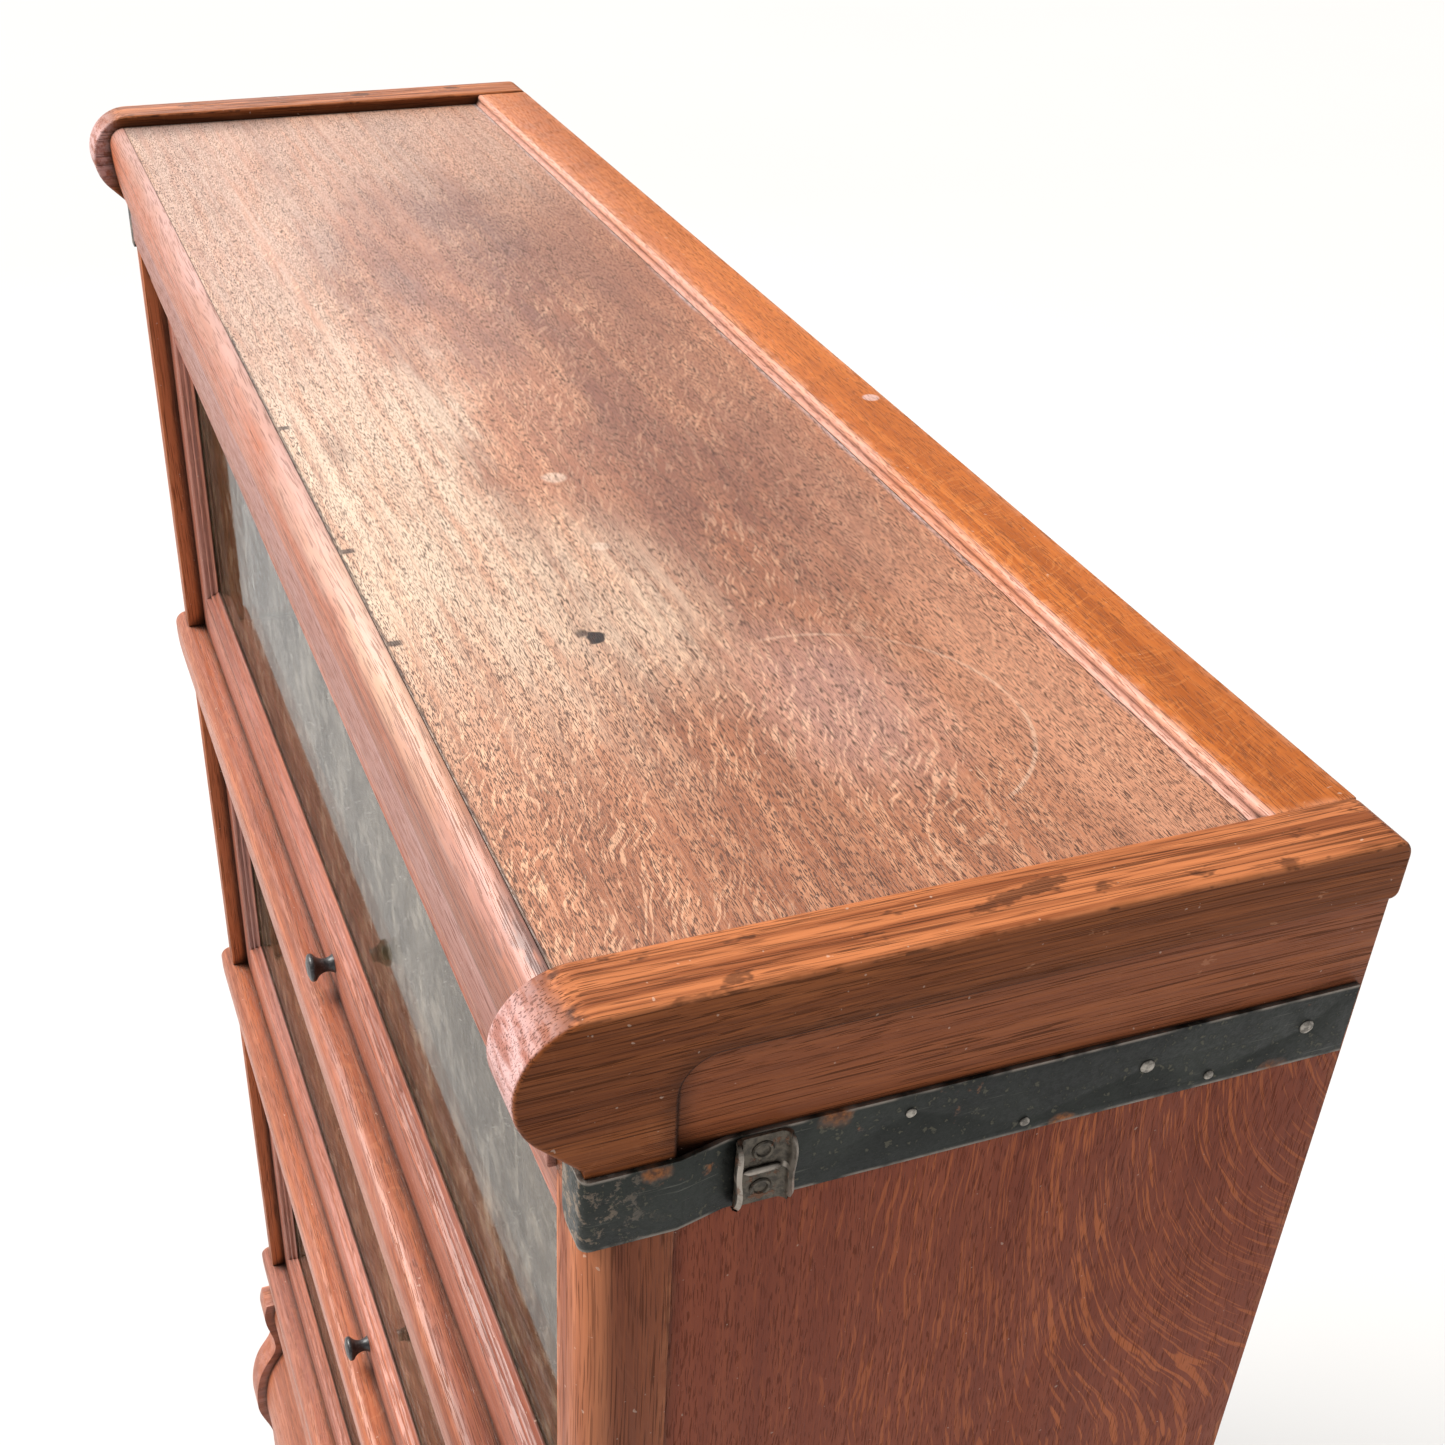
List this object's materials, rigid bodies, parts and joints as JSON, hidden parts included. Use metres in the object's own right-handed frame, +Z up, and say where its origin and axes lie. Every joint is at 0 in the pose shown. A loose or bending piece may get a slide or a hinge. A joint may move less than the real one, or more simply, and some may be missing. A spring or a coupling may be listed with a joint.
{
  "type": "barrister bookcase",
  "caption": "Stacking oak bookcase: moulded base, glazed sections whose doors lift and slide back over the books, and a top unit with round-nosed ends and steel joint bands.",
  "frame": {"origin": "on the floor, in the middle of the footprint", "axes": "+X to the right end seen from the front, +Y to the back, +Z up"},
  "size_m": [0.872, 0.276, 1.266],
  "materials": {
    "oak_faded_top": "faded, worn varnish",
    "oak_side": "worn varnish",
    "oak_post": "worn varnish",
    "oak_back_board": "worn varnish",
    "oak_top_end": "worn varnish",
    "oak_inside": "thin stain, dusty",
    "blackened_steel": "blackened, rubbed and lightly rusted",
    "nail_steel": "dull",
    "glass": "clear",
    "knob_black": "satin black",
    "pin_steel": "dull",
    "oak_door": "worn varnish",
    "oak_rail": "worn varnish"
  },
  "bodies": {
    "cabinet": {"back_panel_1": "oak_inside", "back_panel_2": "oak_inside", "back_panel_3": "oak_inside", "band_nails": "nail_steel", "base_apron": "oak_rail", "base_back_rail": "oak_inside", "base_end_left": "oak_rail", "base_end_right": "oak_rail", "header_1": "oak_rail", "header_2": "oak_rail", "header_3": "oak_rail", "joint_bands": "blackened_steel", "joint_clips": "blackened_steel", "post_left_1": "oak_post", "post_left_2": "oak_post", "post_left_3": "oak_post", "post_right_1": "oak_post", "post_right_2": "oak_post", "post_right_3": "oak_post", "shelf_1": "oak_inside", "shelf_2": "oak_inside", "shelf_3": "oak_inside", "shelf_rail_1": "oak_rail", "shelf_rail_2": "oak_rail", "shelf_rail_3": "oak_rail", "side_left_1": "oak_side", "side_left_2": "oak_side", "side_left_3": "oak_side", "side_right_1": "oak_side", "side_right_2": "oak_side", "side_right_3": "oak_side", "top_back_board": "oak_back_board", "top_back_rail": "oak_inside", "top_bead": "oak_back_board", "top_end_left": "oak_top_end", "top_end_right": "oak_top_end", "top_front_rail": "oak_rail", "top_panel": "oak_faded_top"},
    "door_1_carriage": {"door_pins_1": "pin_steel"},
    "door_1": {"door_bottom_rail_1": "oak_door", "door_glass_1": "glass", "door_knob_1": "knob_black", "door_stile_left_1": "oak_door", "door_stile_right_1": "oak_door", "door_top_rail_1": "oak_door"},
    "door_2_carriage": {"door_pins_2": "pin_steel"},
    "door_2": {"door_bottom_rail_2": "oak_door", "door_glass_2": "glass", "door_knob_2": "knob_black", "door_stile_left_2": "oak_door", "door_stile_right_2": "oak_door", "door_top_rail_2": "oak_door"},
    "door_3_carriage": {"door_pins_3": "pin_steel"},
    "door_3": {"door_bottom_rail_3": "oak_door", "door_glass_3": "glass", "door_knob_3": "knob_black", "door_stile_left_3": "oak_door", "door_stile_right_3": "oak_door", "door_top_rail_3": "oak_door"}
  },
  "joints": [
    {"name": "door_1_slide", "type": "slide", "parent": "cabinet", "child": "door_1_carriage", "axis": [0, 1, 0], "range_m": [0, 0.18]},
    {"name": "door_1_tilt", "type": "hinge", "parent": "door_1_carriage", "child": "door_1", "pos_m": [0, -0.087, 1.159], "axis": [-1, 0, 0], "range_deg": [0, 90]},
    {"name": "door_2_slide", "type": "slide", "parent": "cabinet", "child": "door_2_carriage", "axis": [0, 1, 0], "range_m": [0, 0.165]},
    {"name": "door_2_tilt", "type": "hinge", "parent": "door_2_carriage", "child": "door_2", "pos_m": [0, -0.087, 0.845], "axis": [-1, 0, 0], "range_deg": [0, 90]},
    {"name": "door_3_slide", "type": "slide", "parent": "cabinet", "child": "door_3_carriage", "axis": [0, 1, 0], "range_m": [0, 0.2]},
    {"name": "door_3_tilt", "type": "hinge", "parent": "door_3_carriage", "child": "door_3", "pos_m": [0, -0.087, 0.547], "axis": [-1, 0, 0], "range_deg": [0, 90]}
  ]
}
